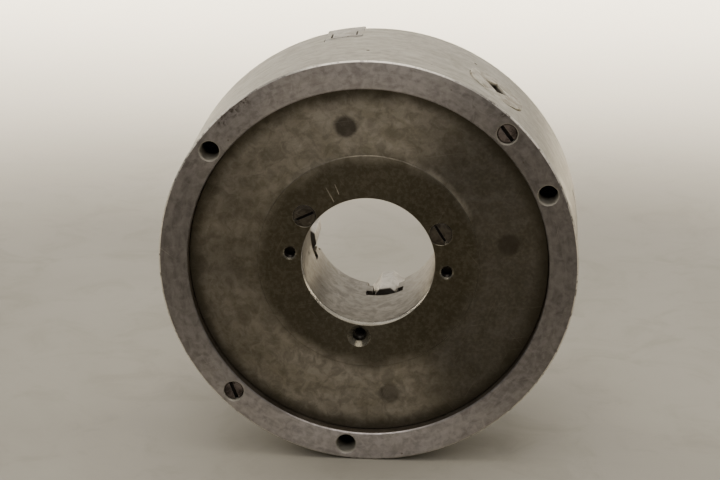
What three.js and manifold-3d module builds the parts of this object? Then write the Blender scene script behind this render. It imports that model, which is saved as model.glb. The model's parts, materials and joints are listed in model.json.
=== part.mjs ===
// A four-jaw self-centring scroll chuck for a lathe, 250 mm in diameter.
//
// Millimetres. The spindle axis is Y: y = 0 is the rear mounting face, and +Y points to the jaws.
// An angle is counted about the axis from +X towards +Z, in degrees. A place on the chuck is then
// a radius, an angle and a height y, and "across" is the distance sideways from a radial line.
//
// Turning either pinion with a square key turns the scroll plate. The spiral on the scroll plate's
// front runs between the teeth of the four jaws and moves them all in or out by one pitch a turn.
import * as THREE from "three";
import { mergeGeometries, mergeVertices } from "three/addons/utils/BufferGeometryUtils.js";
import Module from "manifold-3d";

const wasm = await Module();
wasm.setup();

// ---- Driving dimensions ----

const BODY_RADIUS = 125;
const BODY_DEPTH = 86;
const BORE_RADIUS = 40;
const HUB_RADIUS = 54.2;
const CAVITY_RADIUS = 104;
const CAVITY_FRONT_Y = 66;
const REAR_CHAMFER = 1;
const FRONT_CHAMFER = 2;
const BORE_CHAMFER = 3;
const RING_SIDES = 60;

// The register recess centres the chuck on its backplate; the cover lies sunk in the same recess.
const REGISTER_RADIUS = 107.75;
const COVER_RADIUS = 107.3;
const COVER_FACE_Y = 6;
const COVER_RIM_Y = 6.5;
const COVER_STEP_RADIUS = 66;
const COVER_FRONT_Y = 12.2;
const COVER_SEAT_Y = 12.5;
const COVER_BOSS_RADIUS = 76;
const COVER_BOSS_Y = 37.6;

// Three tapped M12 holes in the rim take the bolts of the backplate.
const MOUNT_HOLE_ANGLES = [23.6, 143.6, 263.6];
const MOUNT_HOLE_PITCH_RADIUS = 115.7;
const MOUNT_HOLE_RADIUS = 5.6;
const MOUNT_HOLE_DEPTH = 24;

// Countersunk M8 screws hold the cover to the hub; the third hole stands empty.
// Two tapped holes let jack screws push the cover off.
const COVER_HOLE_ANGLES = [23.5, 143.5, 263.5];
const COVER_SCREWS = [
  { name: "cover_screw_1", angle: 23.5, slotAngle: -58 },
  { name: "cover_screw_2", angle: 143.5, slotAngle: 25 },
];
const COVER_HOLE_PITCH_RADIUS = 47.2;
const COVER_HOLE_RADIUS = 4.1;
const COVER_HOLE_END_Y = 34;
const COUNTERSINK_RADIUS = 6.8;
const COUNTERSINK_DEPTH = 3.4;
const COVER_SCREW_HEAD_RADIUS = 6.4;
const COVER_SCREW_SHANK_RADIUS = 3.7;
const COVER_SCREW_LENGTH = 24;
const JACK_HOLE_ANGLES = [174, 354];
const JACK_HOLE_RADIUS = 4;

// The jaws, their guides and the scroll that drives them.
const JAW_ANGLES = [9, 99, 189, 279];
const SLOT_HALF_WIDTH = 11.75;
const SLOT_FLOOR_Y = 60;
const RIB_HALF_GAP = 8.2;
const RIB_REAR_Y = 68;
const RIB_FRONT_Y = 77.5;
const SCROLL_PITCH = 10;
const GROOVE_START_RADIUS = 50;
const RIDGE_HALF_WIDTH = 2.1;
const RIDGE_FIRST_RADIUS = 59;
const RIDGE_LAST_RADIUS = 101;
const RIDGE_STEP_DEGREES = 9;
const SCROLL_INNER_RADIUS = 54.9;
const SCROLL_OUTER_RADIUS = 103.3;
const SCROLL_REAR_Y = 38;
const SCROLL_FACE_Y = 60.3;
const SCROLL_CREST_Y = 65.4;

const JAW_HALF_WIDTH = 11.45;
const JAW_NECK_HALF_WIDTH = 7.1;
const JAW_TOOTH_Y = 60.8;
const JAW_WEB_Y = 65.7;
const JAW_NOSE_RADIUS = 38;
const JAW_NOSE_HALF_WIDTH = 3.4;
const JAW_FRONT_Y = 100;
const JAW_HEEL_Y = 89;
const JAW_BEVEL_RADIUS = 118;
const JAW_TOOTH_HALF_THICKNESS = 1.9;
const GUIDE_CLEARANCE = 0.3;

// The top jaws sit on a tongue along the base jaw and a key across it, held by two cap screws.
const TOP_JAW = { inner: 62, outer: 117, halfWidth: 12, noseHalfWidth: 3.5 };
const TOP_JAW_STEPS = [
  { from: 62, y: 142 },
  { from: 83, y: 130 },
  { from: 97, y: 118 },
];
const TONGUE = { halfWidth: 3.97, from: 63, to: 116, height: 3 };
const KEY = { radius: 90, halfWidth: 6.05, slotHalfWidth: 6.35, depth: 3 };
const SEAT_GAP = 0.3;
const JAW_SCREWS = [
  { end: "inner", radius: 73.5 },
  { end: "outer", radius: 106 },
];
const CAP_SCREW = { headRadius: 7.9, headHeight: 10, shankRadius: 4.9, length: 24, hexAcross: 8, hexDepth: 5 };
const COUNTERBORE = { radius: 8.4, floorY: 107.5, throughRadius: 5.6 };
const JAW_THREAD = { radius: 5.3, floorY: 82 };

// The pinions stand radially behind the scroll and mesh with the bevel teeth on its rear.
const PINIONS = [
  { name: "pinion_1", angle: 53.6, screwName: "pinion_screw_1", screwAngle: 45.5, slotAngle: -53 },
  { name: "pinion_2", angle: 233.6, screwName: "pinion_screw_2", screwAngle: 225.5, slotAngle: -69 },
];
const PINION_Y = 36.5;
const PINION_TEETH = 10;
const SCROLL_TEETH = 70;
const TOOTH_PITCH_RADIUS = 98;
const TOOTH_INNER_RADIUS = 79.5;
const TOOTH_OUTER_RADIUS = 98.5;
const TOOTH_ADDENDUM = 1.8;
const TOOTH_DEDENDUM = 2.4;
const TOOTH_HALF = { tip: 0.85, root: 2.1 };
const PINION_PITCH_RADIUS = (TOOTH_PITCH_RADIUS * PINION_TEETH) / SCROLL_TEETH;
const PINION_HEAD = { radius: 19, rimAt: 124.3, crownRadius: 12, crownAt: 124.6, from: 120.6 };
const PINION_NECK = { radius: 11.5, from: 110.2 };
const PINION_JOURNAL = { radius: 16.4, from: 104.3 };
const PINION_HUB_RADIUS = 11.4;
const PINION_POCKET = { radius: 19.6, from: 109.5, boreRadius: 17, boreFrom: 100 };
const KEY_SOCKET = { across: 12, depth: 20 };

// A slotted grub screw with a long dog point runs in each pinion's neck and holds it in.
const PINION_SCREW = { pitchRadius: 116, headY: 1.5, threadEndY: 10.8, endY: 44, radius: 5.7, dogRadius: 4 };
const PINION_SCREW_HOLE = { radius: 6.1, endY: 11, dogRadius: 4.4, dogEndY: 45 };
const SLOT_WIDTH = 2;
const SLOT_DEPTH = 2.2;

// A radial oil hole lets oil through the hub to the scroll.
const OIL_HOLE = { angle: 191, y: 44, radius: 1.1 };

// ---- Solids from three.js geometries ----

const radians = THREE.MathUtils.degToRad;

function toSolid(geometry) {
  const bare = new THREE.BufferGeometry();
  bare.setAttribute("position", geometry.getAttribute("position"));
  bare.setIndex(geometry.index);
  const merged = mergeVertices(bare, 1e-4);
  const corners = merged.index.array;
  const kept = [];
  for (let i = 0; i < corners.length; i += 3) {
    const [a, b, c] = [corners[i], corners[i + 1], corners[i + 2]];
    if (a !== b && b !== c && c !== a) kept.push(a, b, c);
  }
  const vertProperties = merged.getAttribute("position").array;
  return new wasm.Manifold(new wasm.Mesh({ numProp: 3, vertProperties, triVerts: new Uint32Array(kept) }));
}

function toGeometry(solid) {
  const mesh = solid.getMesh();
  const geometry = new THREE.BufferGeometry();
  geometry.setAttribute("position", new THREE.BufferAttribute(mesh.vertProperties, 3));
  geometry.setIndex(new THREE.BufferAttribute(mesh.triVerts, 1));
  geometry.computeVertexNormals();
  return geometry;
}

// Turns an outline of [radius, y] corners, listed anticlockwise, about the Y axis.
function turned(outline, sides = RING_SIDES) {
  const closed = [...outline, outline[0]].map(([radius, y]) => new THREE.Vector2(radius, y));
  return new THREE.LatheGeometry(closed, sides);
}

// Raises an outline of [x, z] corners from one height y to another.
function raised(outline, yLow, yHigh) {
  const shape = new THREE.Shape(outline.map(([x, z]) => new THREE.Vector2(x, -z)));
  const geometry = new THREE.ExtrudeGeometry(shape, { depth: yHigh - yLow, bevelEnabled: false });
  return geometry.rotateX(-Math.PI / 2).translate(0, yLow, 0);
}

// Runs a symmetric outline of [across, y] corners along +X from one radius to another.
function runOut(outline, from, to) {
  const shape = new THREE.Shape(outline.map(([across, y]) => new THREE.Vector2(across, y)));
  const geometry = new THREE.ExtrudeGeometry(shape, { depth: to - from, bevelEnabled: false });
  return geometry.translate(0, 0, from).rotateY(Math.PI / 2);
}

// A round bar parallel to the spindle axis, or a cone where the two radii differ.
function bar(radiusLow, radiusHigh, yLow, yHigh, pitchRadius, angle = 0, sides = 12) {
  const geometry = new THREE.CylinderGeometry(radiusHigh, radiusLow, yHigh - yLow, sides);
  geometry.translate(pitchRadius, (yLow + yHigh) / 2, 0);
  return toSolid(geometry.rotateY(-radians(angle)));
}

// Raises a closed outline of [x, y] corners sideways, the same distance to both sides.
function sideways(outline, halfWidth) {
  const shape = new THREE.Shape(outline.map(([x, y]) => new THREE.Vector2(x, y)));
  const geometry = new THREE.ExtrudeGeometry(shape, { depth: 2 * halfWidth, bevelEnabled: false });
  return geometry.translate(0, 0, -halfWidth);
}

// Points a geometry made along +Z outwards along the radial line at an angle and a height.
function pointOut(geometry, angle, y) {
  return geometry.translate(0, y, 0).rotateY(Math.PI / 2 - radians(angle));
}

function radialBar(radius, from, to, angle, y, sides) {
  const geometry = new THREE.CylinderGeometry(radius, radius, to - from, sides);
  geometry.rotateX(Math.PI / 2).translate(0, 0, (from + to) / 2);
  return toSolid(pointOut(geometry, angle, y));
}

function block(from, to, yLow, yHigh, halfWidth) {
  const geometry = new THREE.BoxGeometry(to - from, yHigh - yLow, 2 * halfWidth);
  return toSolid(geometry.translate((from + to) / 2, (yLow + yHigh) / 2, 0));
}

// Narrows a geometry made along +Z towards z = 0, where it keeps its size at the given z.
function narrowed(geometry, fullSizeAt) {
  const position = geometry.getAttribute("position");
  for (let i = 0; i < position.count; i += 1) {
    const scale = position.getZ(i) / fullSizeAt;
    position.setXY(i, position.getX(i) * scale, position.getY(i) * scale);
  }
  return geometry;
}

function cut(solid, tools) {
  return tools.reduce((left, tool) => left.subtract(tool), solid);
}

function join(solids) {
  return solids.reduce((whole, next) => whole.add(next));
}

// ---- Body, cover and their screws ----

function jawSlot(angle) {
  const outline = [
    [-SLOT_HALF_WIDTH, SLOT_FLOOR_Y],
    [SLOT_HALF_WIDTH, SLOT_FLOOR_Y],
    [SLOT_HALF_WIDTH, RIB_REAR_Y],
    [RIB_HALF_GAP, RIB_REAR_Y],
    [RIB_HALF_GAP, RIB_FRONT_Y],
    [SLOT_HALF_WIDTH, RIB_FRONT_Y],
    [SLOT_HALF_WIDTH, BODY_DEPTH + 2],
    [-SLOT_HALF_WIDTH, BODY_DEPTH + 2],
    [-SLOT_HALF_WIDTH, RIB_FRONT_Y],
    [-RIB_HALF_GAP, RIB_FRONT_Y],
    [-RIB_HALF_GAP, RIB_REAR_Y],
    [-SLOT_HALF_WIDTH, RIB_REAR_Y],
  ];
  return toSolid(runOut(outline, BORE_RADIUS - 8, BODY_RADIUS + 2).rotateY(-radians(angle)));
}

function makeBody() {
  const blank = toSolid(turned([
    [BORE_RADIUS, COVER_SEAT_Y],
    [HUB_RADIUS, COVER_SEAT_Y],
    [HUB_RADIUS, CAVITY_FRONT_Y],
    [CAVITY_RADIUS, CAVITY_FRONT_Y],
    [CAVITY_RADIUS, COVER_SEAT_Y],
    [REGISTER_RADIUS, COVER_SEAT_Y],
    [REGISTER_RADIUS, 0],
    [BODY_RADIUS - REAR_CHAMFER, 0],
    [BODY_RADIUS, REAR_CHAMFER],
    [BODY_RADIUS, BODY_DEPTH - FRONT_CHAMFER],
    [BODY_RADIUS - FRONT_CHAMFER, BODY_DEPTH],
    [BORE_RADIUS + BORE_CHAMFER, BODY_DEPTH],
    [BORE_RADIUS, BODY_DEPTH - BORE_CHAMFER],
  ]));
  const mountHoles = MOUNT_HOLE_ANGLES.map((angle) =>
    bar(MOUNT_HOLE_RADIUS, MOUNT_HOLE_RADIUS, -1, MOUNT_HOLE_DEPTH, MOUNT_HOLE_PITCH_RADIUS, angle));
  const coverHoles = COVER_HOLE_ANGLES.map((angle) =>
    bar(COVER_HOLE_RADIUS, COVER_HOLE_RADIUS, 10, COVER_HOLE_END_Y, COVER_HOLE_PITCH_RADIUS, angle));
  const pinionHoles = PINIONS.flatMap(({ angle, screwAngle }) => {
    const { radius, endY, dogRadius, dogEndY } = PINION_SCREW_HOLE;
    const { pitchRadius } = PINION_SCREW;
    return [
      radialBar(PINION_POCKET.radius, PINION_POCKET.from, BODY_RADIUS + 3, angle, PINION_Y, 28),
      radialBar(PINION_POCKET.boreRadius, PINION_POCKET.boreFrom, BODY_RADIUS, angle, PINION_Y, 28),
      bar(radius, radius, -1, endY, pitchRadius, screwAngle),
      bar(dogRadius, dogRadius, endY - 1, dogEndY, pitchRadius, screwAngle),
    ];
  });
  const oilHole = radialBar(OIL_HOLE.radius, BORE_RADIUS - 2, HUB_RADIUS + 2, OIL_HOLE.angle, OIL_HOLE.y, 8);
  return cut(blank, [...JAW_ANGLES.map(jawSlot), ...mountHoles, ...coverHoles, ...pinionHoles, oilHole]);
}

function makeRearCover() {
  const plate = toSolid(turned([
    [BORE_RADIUS, COVER_FACE_Y],
    [COVER_STEP_RADIUS, COVER_FACE_Y],
    [COVER_STEP_RADIUS + 0.5, COVER_RIM_Y],
    [COVER_RADIUS, COVER_RIM_Y],
    [COVER_RADIUS, COVER_FRONT_Y],
    [COVER_BOSS_RADIUS, COVER_FRONT_Y],
    [COVER_BOSS_RADIUS, COVER_BOSS_Y],
    [SCROLL_INNER_RADIUS, COVER_BOSS_Y],
    [SCROLL_INNER_RADIUS, COVER_FRONT_Y],
    [BORE_RADIUS, COVER_FRONT_Y],
  ]));
  const screwHoles = COVER_HOLE_ANGLES.flatMap((angle) => {
    const mouthY = COVER_FACE_Y - 0.1;
    const coneEndY = COVER_FACE_Y + COUNTERSINK_DEPTH;
    return [
      bar(COUNTERSINK_RADIUS + 0.1, COVER_HOLE_RADIUS, mouthY, coneEndY, COVER_HOLE_PITCH_RADIUS, angle, 16),
      bar(COVER_HOLE_RADIUS, COVER_HOLE_RADIUS, coneEndY - 1, 14, COVER_HOLE_PITCH_RADIUS, angle),
    ];
  });
  const jackHoles = JACK_HOLE_ANGLES.map((angle) =>
    bar(JACK_HOLE_RADIUS, JACK_HOLE_RADIUS, 5, 14, COVER_HOLE_PITCH_RADIUS, angle));
  return cut(plate, [...screwHoles, ...jackHoles]);
}

// A screwdriver slot across a screw that stands at x = pitchRadius, open towards -Y.
function driverSlot(pitchRadius, headY, slotAngle) {
  const length = 30;
  const geometry = new THREE.BoxGeometry(length, 2 * SLOT_DEPTH, SLOT_WIDTH);
  geometry.rotateY(-radians(slotAngle)).translate(pitchRadius, headY, 0);
  return toSolid(geometry);
}

function makeCoverScrew({ angle, slotAngle }) {
  const headY = COVER_FACE_Y + 0.1;
  const neckY = headY + COUNTERSINK_DEPTH - 0.2;
  const pitch = COVER_HOLE_PITCH_RADIUS;
  const head = bar(COVER_SCREW_HEAD_RADIUS, COVER_SCREW_SHANK_RADIUS, headY, neckY, pitch, 0, 16);
  const shank = bar(COVER_SCREW_SHANK_RADIUS, COVER_SCREW_SHANK_RADIUS, neckY - 0.4, headY + COVER_SCREW_LENGTH, pitch);
  return head.add(shank).subtract(driverSlot(pitch, headY, slotAngle - angle));
}

function makePinionScrew({ screwAngle, slotAngle }) {
  const { pitchRadius, headY, threadEndY, endY, radius, dogRadius } = PINION_SCREW;
  const thread = bar(radius, radius, headY, threadEndY, pitchRadius);
  const dog = bar(dogRadius, dogRadius, threadEndY - 1, endY, pitchRadius);
  return thread.add(dog).subtract(driverSlot(pitchRadius, headY, slotAngle - screwAngle));
}

// ---- Scroll plate and pinions ----

// The bevel teeth of the scroll and the pinions all narrow towards the point on the spindle axis
// at the pinions' height, so a tooth is drawn at the pitch radius and narrowed towards that point.
function scrollToothRing() {
  const crest = PINION_PITCH_RADIUS - TOOTH_ADDENDUM;
  const root = PINION_PITCH_RADIUS + TOOTH_DEDENDUM + 0.6;
  const shape = new THREE.Shape([
    new THREE.Vector2(-TOOTH_HALF.tip, crest),
    new THREE.Vector2(TOOTH_HALF.tip, crest),
    new THREE.Vector2(TOOTH_HALF.root, root),
    new THREE.Vector2(-TOOTH_HALF.root, root),
  ]);
  const depth = TOOTH_OUTER_RADIUS - TOOTH_INNER_RADIUS;
  const tooth = new THREE.ExtrudeGeometry(shape, { depth, bevelEnabled: false });
  narrowed(tooth.translate(0, 0, TOOTH_INNER_RADIUS), TOOTH_PITCH_RADIUS);
  const teeth = [];
  for (let i = 0; i < SCROLL_TEETH; i += 1) {
    const angle = PINIONS[0].angle + ((i + 0.5) * 360) / SCROLL_TEETH;
    teeth.push(pointOut(tooth.clone(), angle, PINION_Y));
  }
  return toSolid(mergeGeometries(teeth));
}

function spiralBand(centreRadius, halfWidth, fromAngle, toAngle, steps) {
  const outer = [];
  const inner = [];
  for (let i = 0; i <= steps; i += 1) {
    const angle = fromAngle + ((toAngle - fromAngle) * i) / steps;
    const radius = centreRadius + (SCROLL_PITCH * angle) / 360;
    const direction = [Math.cos(radians(angle)), Math.sin(radians(angle))];
    outer.push(direction.map((part) => part * (radius + halfWidth)));
    inner.push(direction.map((part) => part * (radius - halfWidth)));
  }
  return [...outer, ...inner.reverse()];
}

function makeScrollPlate() {
  const rootSlope = (PINION_PITCH_RADIUS + TOOTH_DEDENDUM) / TOOTH_PITCH_RADIUS;
  const rootY = (radius) => PINION_Y + rootSlope * radius;
  const toothEnd = TOOTH_OUTER_RADIUS + 0.3;
  const disc = toSolid(turned([
    [SCROLL_INNER_RADIUS, SCROLL_REAR_Y],
    [COVER_BOSS_RADIUS + 1, SCROLL_REAR_Y],
    [TOOTH_INNER_RADIUS - 0.5, rootY(TOOTH_INNER_RADIUS - 0.5)],
    [toothEnd, rootY(toothEnd)],
    [SCROLL_OUTER_RADIUS, rootY(toothEnd)],
    [SCROLL_OUTER_RADIUS, SCROLL_FACE_Y],
    [SCROLL_INNER_RADIUS, SCROLL_FACE_Y],
  ]));
  const ridgeStart = GROOVE_START_RADIUS + SCROLL_PITCH / 2;
  const firstAngle = ((RIDGE_FIRST_RADIUS - ridgeStart) * 360) / SCROLL_PITCH;
  const lastAngle = ((RIDGE_LAST_RADIUS - ridgeStart) * 360) / SCROLL_PITCH;
  const steps = Math.round((lastAngle - firstAngle) / RIDGE_STEP_DEGREES);
  const ridgeOutline = spiralBand(ridgeStart, RIDGE_HALF_WIDTH, firstAngle, lastAngle, steps);
  const ridge = toSolid(raised(ridgeOutline, SCROLL_FACE_Y - 0.5, SCROLL_CREST_Y));
  return join([disc, scrollToothRing(), ridge]);
}

function pinionGearOutline() {
  const profile = [
    [PINION_PITCH_RADIUS - TOOTH_DEDENDUM, -TOOTH_HALF.root],
    [PINION_PITCH_RADIUS + TOOTH_ADDENDUM, -TOOTH_HALF.tip],
    [PINION_PITCH_RADIUS + TOOTH_ADDENDUM, TOOTH_HALF.tip],
    [PINION_PITCH_RADIUS - TOOTH_DEDENDUM, TOOTH_HALF.root],
  ];
  const points = [];
  for (let i = 0; i < PINION_TEETH; i += 1) {
    const turn = Math.PI / 2 + (i * 2 * Math.PI) / PINION_TEETH;
    for (const [along, across] of profile) {
      points.push(new THREE.Vector2(along, across).rotateAround(new THREE.Vector2(), turn));
    }
  }
  return new THREE.Shape(points);
}

function makePinion() {
  const depth = TOOTH_OUTER_RADIUS - TOOTH_INNER_RADIUS;
  const teeth = new THREE.ExtrudeGeometry(pinionGearOutline(), { depth, bevelEnabled: false });
  narrowed(teeth.translate(0, 0, TOOTH_INNER_RADIUS), TOOTH_PITCH_RADIUS);
  const stemStart = TOOTH_OUTER_RADIUS - 4;
  const stem = turned([
    [0, stemStart],
    [PINION_HUB_RADIUS - 1, stemStart],
    [PINION_HUB_RADIUS, TOOTH_OUTER_RADIUS],
    [PINION_HUB_RADIUS, PINION_JOURNAL.from],
    [PINION_JOURNAL.radius, PINION_JOURNAL.from],
    [PINION_JOURNAL.radius, PINION_NECK.from],
    [PINION_NECK.radius, PINION_NECK.from],
    [PINION_NECK.radius, PINION_HEAD.from],
    [PINION_HEAD.radius, PINION_HEAD.from],
    [PINION_HEAD.radius, PINION_HEAD.rimAt],
    [PINION_HEAD.crownRadius, PINION_HEAD.crownAt],
    [0, PINION_HEAD.crownAt],
  ], 28);
  const socket = new THREE.BoxGeometry(KEY_SOCKET.across, KEY_SOCKET.across, KEY_SOCKET.depth);
  socket.rotateZ(Math.PI / 4).translate(0, 0, BODY_RADIUS - KEY_SOCKET.depth / 2);
  return join([toSolid(teeth), toSolid(stem.rotateX(Math.PI / 2))]).subtract(toSolid(socket));
}

// ---- Jaws and their screws, made along +X ----

// The plan of a jaw: a flat-tipped nose with 45 degree flanks, and an end at the body's radius.
function jawPlan(noseRadius, noseHalfWidth, halfWidth, endPoints) {
  const shoulder = noseRadius + halfWidth - noseHalfWidth;
  return [
    [shoulder, halfWidth],
    [noseRadius, noseHalfWidth],
    [noseRadius, -noseHalfWidth],
    [shoulder, -halfWidth],
    ...endPoints,
  ];
}

function makeBaseJaw(jawAngle) {
  const endAngle = Math.asin(JAW_HALF_WIDTH / BODY_RADIUS);
  const roundEnd = [-1, -0.5, 0, 0.5, 1].map((part) => {
    return [BODY_RADIUS * Math.cos(part * endAngle), BODY_RADIUS * Math.sin(part * endAngle)];
  });
  const planOutline = jawPlan(JAW_NOSE_RADIUS, JAW_NOSE_HALF_WIDTH, JAW_HALF_WIDTH, roundEnd);
  const plan = toSolid(raised(planOutline, JAW_TOOTH_Y - 1, JAW_FRONT_Y + 1));

  const section = [
    [-JAW_HALF_WIDTH, JAW_WEB_Y],
    [JAW_HALF_WIDTH, JAW_WEB_Y],
    [JAW_HALF_WIDTH, RIB_REAR_Y - GUIDE_CLEARANCE],
    [JAW_NECK_HALF_WIDTH, RIB_REAR_Y - GUIDE_CLEARANCE],
    [JAW_NECK_HALF_WIDTH, RIB_FRONT_Y + GUIDE_CLEARANCE],
    [JAW_HALF_WIDTH, RIB_FRONT_Y + GUIDE_CLEARANCE],
    [JAW_HALF_WIDTH, JAW_FRONT_Y],
    [-JAW_HALF_WIDTH, JAW_FRONT_Y],
    [-JAW_HALF_WIDTH, RIB_FRONT_Y + GUIDE_CLEARANCE],
    [-JAW_NECK_HALF_WIDTH, RIB_FRONT_Y + GUIDE_CLEARANCE],
    [-JAW_NECK_HALF_WIDTH, RIB_REAR_Y - GUIDE_CLEARANCE],
    [-JAW_HALF_WIDTH, RIB_REAR_Y - GUIDE_CLEARANCE],
  ];
  const rail = toSolid(runOut(section, JAW_NOSE_RADIUS - 1, BODY_RADIUS + 1));

  // Each tooth follows the spiral groove, so the four jaws' teeth differ by a quarter of a pitch.
  // The last one may run out of the jaw's round end, where the plan trims it.
  const teeth = [];
  const firstTooth = GROOVE_START_RADIUS + (SCROLL_PITCH * jawAngle) / 360 - SCROLL_PITCH;
  const shoulder = JAW_NOSE_RADIUS + JAW_HALF_WIDTH - JAW_NOSE_HALF_WIDTH;
  for (let radius = firstTooth; radius < BODY_RADIUS + 1; radius += SCROLL_PITCH) {
    if (radius < shoulder + 1) continue;
    const reach = THREE.MathUtils.radToDeg(Math.asin((JAW_HALF_WIDTH + 1) / radius));
    const outline = spiralBand(radius, JAW_TOOTH_HALF_THICKNESS, -reach, reach, 4);
    teeth.push(toSolid(raised(outline, JAW_TOOTH_Y, JAW_WEB_Y + 0.5)));
  }

  const tongue = block(TONGUE.from, TONGUE.to, JAW_FRONT_Y - 1, JAW_FRONT_Y + TONGUE.height, TONGUE.halfWidth);
  const bevelOutline = [
    [JAW_BEVEL_RADIUS, JAW_FRONT_Y],
    [BODY_RADIUS, JAW_HEEL_Y],
    [BODY_RADIUS + 2, JAW_HEEL_Y],
    [BODY_RADIUS + 2, JAW_FRONT_Y + 2],
    [JAW_BEVEL_RADIUS, JAW_FRONT_Y + 2],
  ];
  const bevel = toSolid(sideways(bevelOutline, JAW_HALF_WIDTH + 1));
  const keySlot = block(
    KEY.radius - KEY.slotHalfWidth,
    KEY.radius + KEY.slotHalfWidth,
    JAW_FRONT_Y - KEY.depth,
    JAW_FRONT_Y + TONGUE.height + 1,
    JAW_HALF_WIDTH + 1,
  );
  const threads = JAW_SCREWS.map(({ radius }) =>
    bar(JAW_THREAD.radius, JAW_THREAD.radius, JAW_THREAD.floorY, JAW_FRONT_Y + TONGUE.height + 1, radius));
  const blank = join([rail, ...teeth]).intersect(plan).add(tongue);
  return cut(blank, [bevel, keySlot, ...threads]);
}

function makeTopJaw() {
  const { inner, outer, halfWidth, noseHalfWidth } = TOP_JAW;
  const seatY = JAW_FRONT_Y + SEAT_GAP;
  const grooveTopY = JAW_FRONT_Y + TONGUE.height + SEAT_GAP;
  const crownY = TOP_JAW_STEPS[0].y;
  const planOutline = jawPlan(inner, noseHalfWidth, halfWidth, [
    [outer - 2, -halfWidth],
    [outer, -halfWidth + 2],
    [outer, halfWidth - 2],
    [outer - 2, halfWidth],
  ]);
  const blank = toSolid(raised(planOutline, seatY, crownY));
  const steps = TOP_JAW_STEPS.slice(1).map(({ from, y }) =>
    block(from, outer + 1, y, crownY + 1, halfWidth + 1));
  const groove = block(inner - 1, outer + 1, seatY - 1, grooveTopY, TONGUE.halfWidth + SEAT_GAP);
  const key = block(
    KEY.radius - KEY.halfWidth,
    KEY.radius + KEY.halfWidth,
    JAW_FRONT_Y - KEY.depth + SEAT_GAP,
    grooveTopY + 1,
    JAW_HALF_WIDTH,
  );
  const screwHoles = JAW_SCREWS.flatMap(({ radius }) => [
    bar(COUNTERBORE.radius, COUNTERBORE.radius, COUNTERBORE.floorY, crownY + 1, radius, 0, 16),
    bar(COUNTERBORE.throughRadius, COUNTERBORE.throughRadius, seatY - 1, COUNTERBORE.floorY + 1, radius),
  ]);
  return cut(blank, [...steps, groove]).add(key).subtract(join(screwHoles));
}

function makeCapScrew(pitchRadius) {
  const { headRadius, headHeight, shankRadius, length, hexAcross, hexDepth } = CAP_SCREW;
  const seatY = COUNTERBORE.floorY + SEAT_GAP;
  const topY = seatY + headHeight;
  const head = bar(headRadius, headRadius, seatY, topY, pitchRadius, 0, 16);
  const shank = bar(shankRadius, shankRadius, seatY - length, seatY + 1, pitchRadius);
  const hexRadius = hexAcross / Math.sqrt(3);
  const hexSocket = bar(hexRadius, hexRadius, topY - hexDepth, topY + 1, pitchRadius, 0, 6);
  return head.add(shank).subtract(hexSocket);
}

// ---- The assembly ----

const finishes = {
  body: new THREE.MeshStandardMaterial({ color: 0xa29d90, roughness: 0.45, metalness: 0.9 }),
  cover: new THREE.MeshStandardMaterial({ color: 0x4c4636, roughness: 0.6, metalness: 0.7 }),
  gear: new THREE.MeshStandardMaterial({ color: 0x8c8a84, roughness: 0.4, metalness: 0.9 }),
  jaw: new THREE.MeshStandardMaterial({ color: 0xb4b0a4, roughness: 0.35, metalness: 0.9 }),
  screw: new THREE.MeshStandardMaterial({ color: 0x4a4540, roughness: 0.5, metalness: 0.8 }),
};

function piece(name, solid, finish, angle = 0) {
  const mesh = new THREE.Mesh(toGeometry(solid), finishes[finish]);
  mesh.name = name;
  mesh.rotation.y = -radians(angle);
  return mesh;
}

const chuck = new THREE.Group();
chuck.add(piece("body", makeBody(), "body"));
chuck.add(piece("rear_cover", makeRearCover(), "cover"));
chuck.add(piece("scroll_plate", makeScrollPlate(), "gear"));
for (const screw of COVER_SCREWS) {
  chuck.add(piece(screw.name, makeCoverScrew(screw), "screw", screw.angle));
}

// A pinion is made along +Z, so it stands on its radial line a quarter turn on from a jaw.
for (const pinion of PINIONS) {
  const mesh = piece(pinion.name, makePinion(), "gear", pinion.angle - 90);
  mesh.position.y = PINION_Y;
  chuck.add(mesh);
  chuck.add(piece(pinion.screwName, makePinionScrew(pinion), "screw", pinion.screwAngle));
}

JAW_ANGLES.forEach((angle, index) => {
  const jaw = new THREE.Group();
  jaw.rotation.y = -radians(angle);
  const number = index + 1;
  jaw.add(piece(`base_jaw_${number}`, makeBaseJaw(angle), "jaw"));
  jaw.add(piece(`top_jaw_${number}`, makeTopJaw(), "jaw"));
  for (const { end, radius } of JAW_SCREWS) {
    jaw.add(piece(`jaw_screw_${number}_${end}`, makeCapScrew(radius), "screw"));
  }
  chuck.add(jaw);
});

export default chuck;
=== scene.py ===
import json
import math

import bmesh
import bpy
from mathutils import Matrix, Vector


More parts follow.
